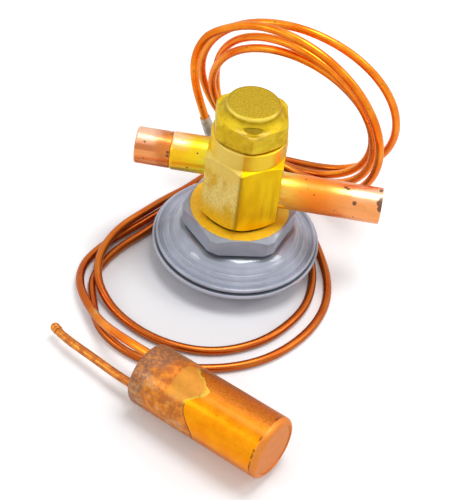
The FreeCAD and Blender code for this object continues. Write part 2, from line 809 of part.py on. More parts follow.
def capillary_loops():
    """Free tube on the floor, from the coil to the bulb."""
    tail = [bulb_point(capillary_side, capillary_height, out) for out in (capillary_last_run, -bulb_wall)]
    route = first_loop + second_loop + third_loop + tail
    return tube_along("capillary_loops", route, capillary_radius)


def save(name, shape):
    if not shape.isValid():
        print("not valid:", name)
    shape.exportStep(f"parts/{name}.step")
    print(f"{name}: {len(shape.Solids)} solid, {shape.Volume:.1f} mm3")


pieces = [
    head_charge_side_plate, head_body_side_plate, head_diaphragm, head_nut, head_gasket,
    valve_body, inlet_stub, outlet_sleeve, outlet_stub, inlet_strainer,
    valve_seat, valve_pin, pin_carrier, buffer_plate,
    superheat_spring, spring_seat, adjusting_stem, packing_gland, stem_packing, packing_washer, gland_gasket,
    seal_cap, cap_seal,
    charge_riser, braze_ferrule, capillary_lead, capillary_coil, capillary_loops,
    bulb_shell, bulb_plug, charging_tube,
]
os.makedirs("parts", exist_ok=True)
for piece in pieces:
    save(piece.__name__, piece())
for number, side in enumerate((-1, 1), 1):
    save(f"push_rod_{number}", push_rod(side))
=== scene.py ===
# %% [markdown]
# # A thermostatic expansion valve
# This small brass valve meters refrigerant. A copper bulb is strapped to a pipe, and a hair-thin
# bore in its long capillary carries the bulb's pressure to the grey head at the valve's foot.
# The solids come from the CAD model. Here they get their finishes, and the capillary, which is
# one long tube, is drawn as one smooth curve.

# %% The frame
import math
import bpy
from mathutils import Matrix, Vector


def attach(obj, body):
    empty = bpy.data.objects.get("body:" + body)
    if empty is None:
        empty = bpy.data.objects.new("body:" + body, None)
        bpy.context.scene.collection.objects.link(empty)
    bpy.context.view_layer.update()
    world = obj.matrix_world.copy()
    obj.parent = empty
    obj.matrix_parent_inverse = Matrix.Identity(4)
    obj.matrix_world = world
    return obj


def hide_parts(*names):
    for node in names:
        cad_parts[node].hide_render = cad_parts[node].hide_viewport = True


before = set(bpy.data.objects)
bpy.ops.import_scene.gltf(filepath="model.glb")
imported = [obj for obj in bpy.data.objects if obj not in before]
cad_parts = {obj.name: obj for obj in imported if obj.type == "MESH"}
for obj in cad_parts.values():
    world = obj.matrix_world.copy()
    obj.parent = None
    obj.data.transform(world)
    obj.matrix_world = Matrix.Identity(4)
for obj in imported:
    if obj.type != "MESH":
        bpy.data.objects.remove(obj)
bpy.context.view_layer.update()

mm = 0.001

# %% [markdown]
# ## The camera
# The picture looks down at 45 degrees, a little from the right, and the camera is tilted
# sideways. The camera's own axes are worked out one at a time: back, right and up. A roll mixes
# the last two. This keeps each number readable, where a rotation matrix would hide them.

# %% Camera
yaw, elevation, roll = math.radians(2.6), math.radians(45.0), math.radians(7.57)
focal_length, sensor_width = 100.8, 36
camera_distance, aim_height = 571.15, 10
shift_right, shift_up = -3.371, -6.011

level_back = Vector((math.sin(yaw), -math.cos(yaw), 0))
back = level_back * math.cos(elevation) + Vector((0, 0, math.sin(elevation)))
right = Vector((math.cos(yaw), math.sin(yaw), 0))
up = back.cross(right)
right, up = right * math.cos(roll) + up * math.sin(roll), up * math.cos(roll) - right * math.sin(roll)

camera = bpy.data.objects.new("camera", bpy.data.cameras.new("camera"))
camera.data.lens, camera.data.sensor_width = focal_length, sensor_width
camera.matrix_world = Matrix((right, up, back)).transposed().to_4x4()
aim = right * shift_right + up * shift_up + Vector((0, 0, aim_height))
camera.location = (aim + back * camera_distance) * mm
bpy.context.scene.collection.objects.link(camera)
bpy.context.scene.camera = camera
print("camera at", [round(v, 3) for v in camera.location])

# %% [markdown]
# ## The capillary's route
# The real tube is soft copper, wound by hand. It leaves a ferrule beside the body, makes three
# and a half standing turns behind the valve, lies on the floor in loops and enters the bulb.
# The points of the free stretches are those of the CAD model. They are the control points of a
# smooth curve, which passes near them and not through them. Two heights come back all the time:
# lay, where the tube lies on the floor, and over, where it passes over another stretch.

# %% Points of the free stretches, in millimetres
lay, over = 1.7, 5.4
lead = [
    (-20.2, 38.5, 35.2), (-23.7, 38.45, 45.2), (-26.7, 40.8, 53.0), (-28.2, 44.0, 61.2),
    (-26.3, 45.8, 69.0), (-21.7, 45.2, 75.9),
]
first_loop = [
    (9, 60.4, 2.4), (-2, 58.0, 2.0), (-11, 51.0, lay), (-18.4, 41.4, lay),
    (-25.2, 31.4, lay), (-33.2, 20.3, 3.6), (-39.6, 9.6, 5.2), (-47, -0.6, over),
    (-51.6, -12.5, over), (-52.4, -24.0, over), (-49.8, -34.0, 4.4),
    (-43.2, -42.6, 2.2), (-34.5, -49.5, lay), (-24.5, -54.6, lay),
    (-13.5, -57.2, lay), (-2.0, -57.0, lay), (9.0, -53.0, lay),
    (19.0, -46.0, lay), (27.0, -36.0, lay), (32.5, -25.0, lay),
    (34.0, -13.0, lay), (32.8, -1.5, lay),
]
second_loop = [
    (29.2, 10.2, lay), (22.2, 21.5, lay), (11.5, 29.0, lay),
    (-1.0, 31.2, lay), (-13.5, 28.2, lay), (-23.5, 20.6, lay),
    (-31.2, 10.6, lay), (-38.4, 0.4, lay), (-45.2, -8.4, lay),
    (-50.6, -18.4, lay), (-53.4, -30.0, lay), (-50.4, -41.4, lay),
    (-46.6, -52.6, lay), (-38.6, -60.6, lay), (-28.0, -66.0, lay),
    (-16.0, -67.6, lay), (-3.6, -66.0, lay), (8.4, -62.6, lay),
    (19.6, -56.4, lay), (29.2, -47.0, lay), (36.6, -35.2, lay),
    (40.6, -22.0, lay), (40.0, -8.8, lay),
]
third_loop = [
    (36.0, 4.0, lay), (30.2, 17.6, lay), (19.4, 29.0, lay),
    (5.4, 35.0, lay), (-9.6, 34.0, lay), (-23.0, 27.2, lay),
    (-33.6, 14.6, lay), (-43.3, 2.3, lay), (-51.8, -8.2, lay),
    (-57.8, -19.6, lay), (-58.4, -29.8, 3.0), (-55.6, -39.4, 4.6),
    (-50.2, -48.2, 5.6), (-44.6, -56.0, 7.6), (-38.4, -63.6, 12.0),
]
into_bulb = [(-29.53, -72.34, 16.85), (-20.34, -77.39, 17.4)]
loops = first_loop + second_loop + third_loop
print(len(lead + loops + into_bulb), "points in the free stretches")

# %% [markdown]
# ## The standing turns
# Nothing ties the turns, so each one has its own size, lean and centre. A turn is a circle: a
# centre, a radius and the direction that it faces. From the bottom of a turn to its left side,
# the circle blends into the next one. The second turn crosses the others on its way, and
# swings out towards the camera there to pass over them. A loop places sixteen points a turn. A
# smooth curve cuts inside its points, so they stand on a circle larger by just that much.

# %% Points of the turns
turns = [
    ((11.3, 37.9, 45.8), 44.3, -114, -9),
    ((14.9, 44.6, 42.0), 38.6, -116, -11),
    ((14.0, 46.0, 39.9), 36.6, -108, -13),
    ((15.6, 50.9, 44.1), 43.2, -104, -13),
]
points_a_turn = 16
first_angle, last_angle = 112.0, -1165.0
crossing_turn, crossing_swing = 1, 4.1
crossing_lead, crossing_span = 30, 130


def turn_point(angle, centre, radius, facing, lean):
    """Point of a turn; 0 is its right side, 90 its top, seen from in front."""
    facing, lean, angle = math.radians(facing), math.radians(lean), math.radians(angle)
    level = Vector((math.cos(facing), math.sin(facing), 0))
    normal = level * math.cos(lean) + Vector((0, 0, math.sin(lean)))
    aside = Vector((-math.sin(facing), math.cos(facing), 0))
    above = normal.cross(aside)
    reach = radius / math.cos(math.pi / points_a_turn)
    return Vector(centre) + (aside * math.cos(angle) + above * math.sin(angle)) * reach


def wound(angle):
    """Point of the winding at an angle that keeps falling, turn after turn."""
    past = (-90 - angle) / 360
    number = max(0, math.floor(past) + 1)
    blend = 1.0 if number == 0 else min(1.0, (past - (number - 1)) * 4)
    here = turn_point(angle, *turns[min(number, len(turns) - 1)])
    before = turn_point(angle, *turns[max(0, number - 1)])
    point = before.lerp(here, blend * blend * (3 - 2 * blend))
    crossing = ((past - crossing_turn) * 360 + crossing_lead) / crossing_span
    crossing = min(1.0, max(0.0, crossing))
    return point + back * (crossing_swing * math.sin(math.pi * crossing))


coil = []
angle = first_angle
while angle > last_angle:
    coil.append(tuple(wound(angle)))
    angle -= 360 / points_a_turn
print(len(coil), "points in the turns")

# %% [markdown]
# ## The tube
# One spline carries the whole capillary. Its order of three gives a curve without kinks. The
# order and the clamped ends are set once the points are there, because Blender limits the order
# to the number of points that it finds. A bevel as deep as the radius makes the tube round. A
# curve's box is wider than its points by their own radius, one metre unless it is set. So that
# radius is one millimetre, and the bevel is deeper by the same factor.

# %% Capillary
capillary_diameter = 3.4 * mm
point_radius = 0.001


def smooth_tube(name, points, diameter):
    """Round tube along a smooth curve near these points, which are in millimetres."""
    curve = bpy.data.curves.new(name, "CURVE")
    curve.dimensions = "3D"
    spline = curve.splines.new("NURBS")
    spline.points.add(len(points) - 1)
    for place, point in zip(spline.points, points):
        place.co = (*(v * mm for v in point), 1.0)
        place.radius = point_radius
    spline.order_u = 3
    spline.use_endpoint_u = True
    spline.resolution_u = 8
    curve.bevel_depth = diameter / 2 / point_radius
    curve.bevel_resolution = 5
    piece = bpy.data.objects.new(name, curve)
    bpy.context.scene.collection.objects.link(piece)
    return piece


capillary = smooth_tube("capillary", lead + coil + loops + into_bulb, capillary_diameter)
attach(capillary, "valve")
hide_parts("capillary_lead", "capillary_coil", "capillary_loops")
print("one spline with", len(capillary.data.splines[0].points), "points")

# %% [markdown]
# ## Shader arithmetic
# A light or a finish is a small program of shader nodes. Written out node by node it would be
# unreadable, so a wrapped socket lets a mask be written as ordinary arithmetic. Adding,
# subtracting, multiplying or dividing such terms adds the Math nodes that do it. Every other
# node comes from one method, which takes its type, its settings and the values of its sockets.

# %% Wrapped socket and node tree


class Term:
    """Output of a node, in arithmetic that adds the Math nodes it needs."""

    def __init__(self, nodes, socket):
        self.nodes, self.socket = nodes, socket

    def __add__(self, other):
        return self.nodes.maths("ADD", self, other)

    def __sub__(self, other):
        return self.nodes.maths("SUBTRACT", self, other)

    def __rsub__(self, other):
        return self.nodes.maths("SUBTRACT", other, self)

    def __mul__(self, other):
        return self.nodes.maths("MULTIPLY", self, other)

    def __truediv__(self, other):
        return self.nodes.maths("DIVIDE", self, other)

    def __rtruediv__(self, other):
        return self.nodes.maths("DIVIDE", other, self)

    __radd__, __rmul__ = __add__, __mul__


class Nodes:
    """A node tree on the way."""

    def __init__(self, tree):
        self.tree = tree

    def node(self, kind, settings=(), inputs=(), out=0):
        """Output of a new node, whose sockets are fed with terms or plain values."""
        made = self.tree.nodes.new(kind)
        for name, value in dict(settings).items():
            setattr(made, name, value)
        pairs = inputs.items() if isinstance(inputs, dict) else enumerate(inputs)
        for name, value in pairs:
            self.feed(made.inputs[name], value)
        return Term(self, made.outputs[out])

    def feed(self, socket, value):
        """Link a term to a socket, or set a plain value on it."""
        if isinstance(value, Term):
            self.tree.links.new(value.socket, socket)
        else:
            socket.default_value = (*value, 1.0) if socket.type == "RGBA" else value

    def maths(self, operation, *values):
        """Math node on terms or numbers."""
        return self.node("ShaderNodeMath", {"operation": operation}, values)


methods = [name.strip("_") for name, value in vars(Term).items() if callable(value)]
print("methods of a term:", ", ".join(methods))

# %% [markdown]
# ## The light tent
# The valve lies in a white light tent. A plain world gives the even light of the tent's walls.
# The tent is white to the camera and in the metal's reflections, through outputs of the Light
# Path node, while the even light that it casts on matt surfaces stays lower.

# %% World
cast_light, seen_light = 0.55, 1.0
world = bpy.data.worlds.new("tent")
world.use_nodes = True
bpy.context.scene.world = world
bpy.context.scene.view_settings.view_transform = "Standard"

tent = Nodes(world.node_tree)
camera_ray, glossy_ray, clear_ray = (
    tent.node("ShaderNodeLightPath", out=f"Is {kind} Ray")
    for kind in ("Camera", "Glossy", "Transmission")
)
levels = {"Value": camera_ray + glossy_ray + clear_ray, "To Min": cast_light, "To Max": seen_light}
sky = tent.tree.nodes["Background"]
tent.feed(sky.inputs["Strength"], tent.node("ShaderNodeMapRange", {}, levels))
tent.feed(sky.inputs["Color"], (1, 1, 1))
print("the tent casts", cast_light, "and shows", seen_light)

# %% [markdown]
# ## Lamps and floor
# Three square lamps stand for the tent's brighter panels, so that the round metal gets long soft
# highlights. Each one faces a point in the middle of the valve. The floor is one large square.

# %% Lamps and floor
lit_point = Vector((0, 0, 0.03))
floor_half = 3


def panel(name, place, size, power):
    """Square lamp that faces the valve."""
    lamp = bpy.data.objects.new(name, bpy.data.lights.new(name, "AREA"))
    lamp.data.shape, lamp.data.size, lamp.data.energy = "SQUARE", size, power
    lamp.location = place
    lamp.rotation_euler = (Vector(place) - lit_point).to_track_quat("Z", "Y").to_euler()
    bpy.context.scene.collection.objects.link(lamp)


panel("top panel", (0.12, 0.1, 0.95), 0.4, 4.2)
panel("left panel", (-0.8, -0.36, 0.56), 0.27, 1.05)
panel("right panel", (0.9, 0.1, 0.8), 0.4, 2.2)

table = bpy.data.objects.new("table", bpy.data.meshes.new("table"))
corners = [(x * floor_half, y * floor_half, 0) for x, y in ((-1, -1), (1, -1), (1, 1), (-1, 1))]
table.data.from_pydata(corners, [], [(0, 1, 2, 3)])
bpy.context.scene.collection.objects.link(table)
print(len(bpy.data.lights), "lamps over a floor", 2 * floor_half, "m wide")

# %% [markdown]
# ## A finish
# A finish is a node tree with short methods for what all finishes need: places, directions and
# distances, noise, soft edges, coats of colour and the relief of the surface. Masks run from 0
# to 1. A soft edge may also fall, where its end lies below its start. The name of the noise's
# output differs between versions of Blender, so it is looked up first.

# %% Helpers of a finish
probe = bpy.data.materials.new("probe")
probe.use_nodes = True
noise_outputs = probe.node_tree.nodes.new("ShaderNodeTexNoise").outputs
noise_value = "Factor" if "Factor" in noise_outputs else "Fac"
bpy.data.materials.remove(probe)


class Finish(Nodes):
    """A material on the way; place is the point on the piece, in millimetres."""

    def __init__(self, name):
        self.material = bpy.data.materials.new(name)
        self.material.use_nodes = True
        super().__init__(self.material.node_tree)
        place = self.node("ShaderNodeTexCoord", out="Object")
        self.place = self.vector("SCALE", {"Vector": place, "Scale": 1 / mm}, "Vector")

    def vector(self, operation, values, out="Value"):
        """Vector Math node; its output is a number unless the vector is asked for."""
        return self.node("ShaderNodeVectorMath", {"operation": operation}, values, out)

    def axis(self, letter):
        """One coordinate of the place: X runs right, Y back and Z up."""
        return self.node("ShaderNodeSeparateXYZ", {}, [self.place], letter)

    def along(self, direction):
        """Distance along a direction."""
        return self.vector("DOT_PRODUCT", [self.place, tuple(direction)])

    def distance(self, *point):
        """Distance from a point."""
        return self.vector("DISTANCE", [self.place, point])

    def radius(self):
        """Distance from the valve's axis."""
        x, y = self.axis("X"), self.axis("Y")
        return self.maths("SQRT", x * x + y * y)

    def noise(self, size, detail=2.0, stretch=(1, 1, 1), rough=0.55):
        """Cloudy noise from 0 to 1, its lumps about this many millimetres across."""
        place = self.vector("MULTIPLY", [self.place, stretch], "Vector")
        values = {"Vector": place, "Scale": 1 / size, "Detail": detail, "Roughness": rough}
        return self.node("ShaderNodeTexNoise", {}, values, noise_value)

    def fade(self, value, start, end):
        """0 at start, 1 at end, and smooth between."""
        values = {"Value": value, "From Min": start, "From Max": end}
        return self.node("ShaderNodeMapRange", {"interpolation_type": "SMOOTHSTEP"}, values)

    def band(self, value, rise, fall):
        """1 between two soft edges, each given as its start and its end."""
        return self.fade(value, *rise) * self.fade(value, *fall)

    def patches(self, size, detail, start, end, **noise):
        """Soft patches where a noise lies past start."""
        return self.fade(self.noise(size, detail, **noise), start, end)

    def mix(self, mask, low, high):
        """Colour low where the mask is 0, high where it is 1."""
        return self.node("ShaderNodeMix", {"data_type": "RGBA"}, {0: mask, 6: low, 7: high}, 2)

    def coats(self, tone, *layers):
        """Tone under coats of colour, the last on top; each is its mask, strength and colour."""
        for mask, strength, colour in layers:
            tone = self.mix(mask * strength, tone, colour)
        return tone

    def relief(self, height, depth, soft=0.3):
        """Normal of a surface with this height map, its depth and the rounding of the
        piece's sharp edges in millimetres."""
        rounded = self.node("ShaderNodeBevel", {"samples": 4}, {"Radius": soft * mm})
        values = {"Height": height, "Distance": depth * mm, "Strength": 1.0, "Normal": rounded}
        return self.node("ShaderNodeBump", {}, values)

    def marks(self, *spots):
        """1 inside small round marks; each is its centre and its radius in millimetres."""
        mask = 0.0
        wobble = self.noise(0.8, 2.0) * 0.5 + 0.75
        for x, y, z, size in spots:
            spot = self.fade(self.distance(x, y, z) * wobble, size, size * 0.7)
            mask = self.maths("MAXIMUM", spot, mask)
        return mask

    def surface(self, **values):
        """Material whose shader has these values; a socket's name has _ for its spaces."""
        shader = self.tree.nodes["Principled BSDF"]
        for name, value in values.items():
            self.feed(shader.inputs[name.replace("_", " ")], value)
        return self.material


print("a noise node calls its value", noise_value)

# %% [markdown]
# ## White table
# The floor of the tent is matt white and keeps the valve's soft shadow. Inside the loops it is
# painted a little grey, as painted shade. Outside them, to the camera alone, it glows, which takes
# the last trace of grey out of its open parts. Around the bulb it glows half as much, so that the bulb's
# shadow stays.

# %% Table
white = Finish("white table")
seen_direct = white.node("ShaderNodeLightPath", out="Is Camera Ray")
outside_loops = white.fade(white.distance(-12, -18, 0), 36, 54)
beside_bulb = white.fade(white.distance(3, -94, 0), 34, 46) * 0.5 + 0.5
glow = white.mix(outside_loops * seen_direct * beside_bulb, (0, 0, 0), (0.18, 0.19, 0.19))
# Painted shade: the floor is a little greyer inside the loops.
floor_with_painted_shade = white.mix(outside_loops, (0.8, 0.805, 0.84), (0.9, 0.905, 0.925))
white.surface(Base_Color=floor_with_painted_shade, Roughness=0.9, Emission_Color=glow, Emission_Strength=1.0)
table.data.materials.append(white.material)
print("white table of", len(white.tree.nodes), "nodes")

# %% [markdown]
# ## Colours, heights and dressing
# Colours are read off the picture as 0 to 255 values, and a shader wants them linear. Zones on a
# piece are placed from the corners of its solid's own box, so that they follow its size.

# %% Colours, corners and dressing


def linear(red, green, blue):
    """Colour of a picture's 0 to 255 values, as a shader wants it."""
    tone = []
    for value in (red / 255, green / 255, blue / 255):
        tone.append(value / 12.92 if value < 0.0405 else ((value + 0.055) / 1.055) ** 2.4)
    return tuple(tone)


def corners_of(name):
    """Lower and upper corner of a CAD piece, in millimetres."""
    corners = [[v / mm for v in corner] for corner in bpy.data.objects[name].bound_box]
    low = Vector([min(values) for values in zip(*corners)])
    high = Vector([max(values) for values in zip(*corners)])
    return low, high


def dress(material, *names):
    """Put a material on the CAD pieces with these names."""
    for name in names:
        for slot in bpy.data.objects[name].material_slots:
            slot.material = material
    print(material.name, "of", len(material.node_tree.nodes), "nodes on", ", ".join(names))


print("the valve is", round(corners_of("seal_cap")[1].z, 1), "mm high to the top of its cap")

# %% [markdown]
# ## Grey paint
# The head is sprayed with a glossy blue-grey paint. It has a faint orange peel, and the drawn
# ridges of the dome show through it. The gap between the plates and the foot of the nut are
# darker, as no light gets there, and the lower plate's brim has a painted highlight in front.

# %% Paint of the plates
plate_seam = corners_of("head_body_side_plate")[0].z
dome_foot, dome_shoulder = 23.0, 31.4
brim_radius = 33.3
nut_half = 20.5
nut_facings = (41, 101, 161)
ridge_pitch = 2.0944


def paint_on(finish):
    """Colour and height of the paint."""
    darker, lighter = linear(160, 167, 184), linear(174, 181, 200)
    return finish.mix(finish.patches(9.0, 3.0, 0.3, 0.7), darker, lighter), finish.noise(1.3, 1.5)


paint = Finish("grey paint")
colour, peel = paint_on(paint)
y, z, radius = paint.axis("Y"), paint.axis("Z"), paint.radius()
upper_plate = paint.fade(z, plate_seam - 0.13, plate_seam + 0.27)
dome = paint.band(radius, (dome_foot, dome_foot + 1.5), (dome_shoulder, dome_shoulder - 0.8))
ridges = paint.maths("SINE", radius * (math.tau / ridge_pitch)) * dome * upper_plate

overhang = 0.0
for facing in nut_facings:
    way = math.radians(facing)
    across = paint.maths("ABSOLUTE", paint.along((math.cos(way), math.sin(way), 0)))
    overhang = paint.maths("MAXIMUM", across, overhang)
nut_shade = paint.fade(overhang, nut_half + 1.7, nut_half + 0.3) * paint.fade(radius, 23.6, 22.8)
nut_shade = nut_shade * upper_plate
gap = paint.band(radius, (dome_shoulder, dome_shoulder + 0.5), (brim_radius + 0.2, brim_radius - 0.2))
gap = gap * paint.fade(z, plate_seam + 0.27, plate_seam - 0.03)
# Painted highlight: the lower plate's brim is paler in front.
brim_highlight = paint.fade(radius, brim_radius - 0.2, brim_radius + 0.2) * paint.fade(y, 6, -10)

colour = paint.coats(
    colour,
    (brim_highlight, 0.6, linear(196, 198, 212)),
    (paint.maths("MAXIMUM", gap * 0.8, nut_shade * 0.7), 1.0, linear(60, 66, 68)),
)
paint.surface(
    Base_Color=colour, Roughness=0.16, Coat_Weight=1.0, Coat_Roughness=0.04,
    Normal=paint.relief(peel + ridges * 12, 0.01, 0.12),
)
dress(paint.material, "head_charge_side_plate", "head_body_side_plate")

# %% [markdown]
# ## Half-painted nut
# The nut is sprayed with the head. Its top face was left bare where the body stood in the way of
# the spray, so a mask of radius and height parts the paint from the brass. The turned face has
# fine rings, and the joint with the body is painted dark, as painted shade under the body's foot.

# %% Paint and brass of the nut
nut_top = corners_of("head_nut")[1].z
bare_radius, joint_radius = 20.35, 15.55
tool_mark_pitch = 0.6981

nut = Finish("part-painted nut")
colour, peel = paint_on(nut)
z, radius = nut.axis("Z"), nut.radius()
edge = radius + nut.noise(1.6, 3.0)
bare = nut.fade(edge, bare_radius + 0.15, bare_radius - 0.15) * nut.fade(z, nut_top - 0.35, nut_top - 0.2)
# Painted shade on the bare ring, where it meets the body's foot.
joint_shade = nut.fade(radius + nut.noise(2.0, 3.0) * 0.8, joint_radius + 0.35, joint_radius - 0.35)
ring = nut.coats(
    linear(254, 202, 40),
    (nut.patches(1.8, 4.0, 0.3, 0.7), 1.0, linear(255, 218, 54)),
    (joint_shade, 0.85, linear(104, 64, 18)),
)
sprayed = nut.mix(0.25, colour, linear(128, 130, 130))
tool_marks = nut.maths("SINE", radius * (math.tau / tool_mark_pitch))
nut.surface(
    Base_Color=nut.mix(bare, sprayed, ring), Metallic=bare * 0.35,
    Roughness=0.24 + bare * 0.12, Coat_Weight=(1 - bare) * 0.6, Coat_Roughness=0.1,
    Normal=nut.relief(peel * (1 - bare) + tool_marks * bare * 0.3, 0.02, 0.5),
)
dress(nut.material, "head_nut")

# %% [markdown]
# ## Brass of the body
# The body is drawn hexagon bar, so fine lines run up its flats. Its left flat is worn pale and
# stippled, and turns golden near its foot. Painted shade darkens the front corner and the joint
# with the nut. The collar is turned and plain, and a little paler on the left and towards the cap.

# %% Body
nut_joint = nut_top + 1.2
collar_foot = 50
worn_from, worn_to = 31, 38
collar_edge = 58.45

brass = Finish("body brass")
x, y, z = (brass.axis(letter) for letter in "XYZ")
blotch = brass.noise(5.0, 4.0, (1, 1, 0.5))
left_flat = brass.fade(x, 0.1, -0.9) * brass.fade(y, -4.0, -8.0)
worn = brass.fade(z, worn_from, worn_to)
collar = brass.fade(z, collar_foot, collar_foot + 5)
worn_patches = brass.patches(5.5, 3.0, 0.3, 0.66, stretch=(1, 1, 0.5)) * worn * (1 - collar)
pale = (worn_patches + collar * 0.5) * left_flat
stipple = brass.patches(0.7, 3.0, 0.42, 0.66, stretch=(1, 1, 0.6)) * left_flat
stipple = stipple * brass.fade(z, collar_foot + 6, collar_foot)
streaks = brass.patches(1.8, 3.0, 0.54, 0.7, stretch=(1, 1, 0.06)) * (1 - left_flat)
streaks = streaks * brass.fade(z, collar_foot + 7, collar_foot)
# Painted shade where the body's foot meets the nut.
joint_shade = brass.fade(z + blotch * 0.6, nut_joint + 0.25, nut_joint - 0.15)
# Painted shade: a dark line down the front corner of the body.
from_edge = brass.maths("ABSOLUTE", x + blotch - 0.5)
front_edge_shade = brass.fade(from_edge, 1.3, 0.15) * brass.fade(y, -15.9, -16.4)
tone = brass.coats(
    linear(226, 180, 6),
    (brass.fade(blotch, 0.35, 0.65), 1.0, linear(238, 198, 22)),
    (left_flat * (1 - worn), 0.6, linear(255, 214, 40)),
    (pale, 0.85, linear(255, 240, 146)),
    (stipple, 0.4, linear(206, 150, 22)),
    (streaks, 0.4, linear(190, 144, 18)),
    (joint_shade, 0.75, linear(96, 70, 20)),
    (brass.fade(z, collar_edge - 0.15, collar_edge + 0.15), 0.4, linear(244, 214, 84)),
    (front_edge_shade, 0.55, linear(140, 108, 20)),
)
brass.surface(
    Base_Color=tone, Metallic=1 - left_flat * 0.6,
    Roughness=brass.fade(blotch, 0.2, 0.8) * 0.12 + 0.3 + left_flat * 0.1,
    Normal=brass.relief(brass.noise(0.35, 3.0, (1, 1, 0.03)), 0.03, 0.5),
)
dress(brass.material, "valve_body")

# %% [markdown]
# ## Brass of the cap
# The cap is a forging, duller and greener than the body. The top of its boss has a fine sandy
# grain and a painted highlight on its rounded edge, its foot is darkened with painted shade, and
# the front corner has a shallow dent, painted darker as painted shade, with a painted highlight on its
# lip below. Distances across and above place the dent as an ellipse.

# %% Cap
cap_top = corners_of("seal_cap")[1].z
dent_facing = math.radians(-82)
dent_drop, dent_half_width, dent_half_height = 4.15, 4.2, 1.0

cap = Finish("cap brass")
y, z = cap.axis("Y"), cap.axis("Z")
grain = cap.noise(0.32, 3.0)
sandy = cap.fade(z, cap_top - 0.45, cap_top - 0.15)
skirt = cap.fade(z, cap_top - 5.15, cap_top - 4.75) * (1 - sandy)
# Painted shade at the foot of the boss, and a painted highlight on the front of its rounded edge.
boss_foot_shade = cap.band(z, (cap_top - 3.65, cap_top - 2.55), (cap_top - 1.35, cap_top - 1.85))
boss_edge_highlight = cap.band(z, (cap_top - 1.15, cap_top - 0.75), (cap_top - 0.05, cap_top - 0.25))
boss_edge_highlight = boss_edge_highlight * cap.fade(y, -1, -6)

across = cap.along((-math.sin(dent_facing), math.cos(dent_facing), 0)) / dent_half_width
above = (z - (cap_top - dent_drop)) / dent_half_height
apart = across * across + above * above
front = cap.fade(cap.along((math.cos(dent_facing), math.sin(dent_facing), 0)), 9, 10)
# The dent is a real hollow in the relief; its dark colour is painted shade and its pale lip a painted
# highlight.
dent_and_shade = cap.fade(apart, 1.1, 0.5) * front
dent_lip_highlight = cap.band(apart, (0.9, 1.3), (3.4, 2.0)) * cap.fade(above, 0, -0.7) * front
tone = cap.coats(
    linear(208, 176, 18),
    (cap.patches(4.0, 4.0, 0.3, 0.7), 1.0, linear(226, 196, 44)),
    (sandy, 1.0, cap.mix(cap.fade(grain, 0.35, 0.65), linear(150, 122, 10), linear(206, 176, 44))),
    (cap.patches(1.2, 3.0, 0.66, 0.76), 0.6, linear(138, 112, 18)),
    (skirt, 0.15, linear(176, 146, 22)),
    (cap.patches(3.0, 4.0, 0.52, 0.66) * (1 - sandy), 0.35, linear(158, 124, 18)),
    (boss_foot_shade, 0.35, linear(150, 118, 14)),
    (boss_edge_highlight, 0.5, linear(252, 232, 120)),
    (dent_and_shade, 0.6, linear(112, 84, 16)),
    (dent_lip_highlight, 0.45, linear(246, 206, 128)),
)
cap.surface(
    Base_Color=tone, Metallic=0.85,
    Roughness=(sandy + skirt) * 0.14 + cap.fade(grain, 0.2, 0.8) * 0.1 + 0.34,
    Normal=cap.relief((grain + cap.noise(1.6, 2.0)) * (sandy * 0.7 + 0.3) - dent_and_shade * 6, 0.06, 0.8),
)
dress(cap.material, "seal_cap")

# %% [markdown]
# ## Copper of the stubs
# Brazing heats the roots of the stubs: near the body the copper is yellow and bright, further
# out orange, then pinker, and the outlet's sleeve is yellow all over. The far ends get a painted
# highlight along the top, and the outlet's has a painted dark reflection below that and a paler
# one under it. Flux leaves small dark specks anywhere, and a few large pits are listed where the real
# stubs have them.

# %% Pits of the stubs
inlet_pits = [
    (40.0, -0.4, 45.9, 0.9), (40.9, -1.0, 45.8, 0.8), (44.1, -5.7, 43.1, 1.0),
    (24.3, 0.3, 45.9, 0.45), (25.5, -3.8, 44.9, 0.3), (28.2, -5.3, 43.6, 0.4),
    (37.0, -7.2, 39.1, 0.35), (44.6, -7.0, 37.1, 0.4), (53.9, 1.3, 45.8, 0.9),
    (53.6, 0.6, 45.9, 0.7), (54.3, -3.4, 45.1, 1.3), (53.9, -4.7, 44.2, 1.6),
    (54.4, -6.0, 42.7, 1.6),
]
outlet_pits = [
    (-39.4, -4.5, 56.0, 0.6), (-29.9, 1.1, 57.3, 0.6), (-30.0, -6.2, 53.9, 0.7),
    (-30.0, -6.7, 52.6, 0.7), (-39.0, -6.9, 49.9, 0.5),
]
sleeve_pits = [(-18.6, -5.4, 55.2, 0.45), (-21.9, -7.3, 48.9, 0.5), (-25.0, -2.0, 57.3, 0.3)]
print(len(inlet_pits + outlet_pits + sleeve_pits), "pits set by hand")

# %% Stubs


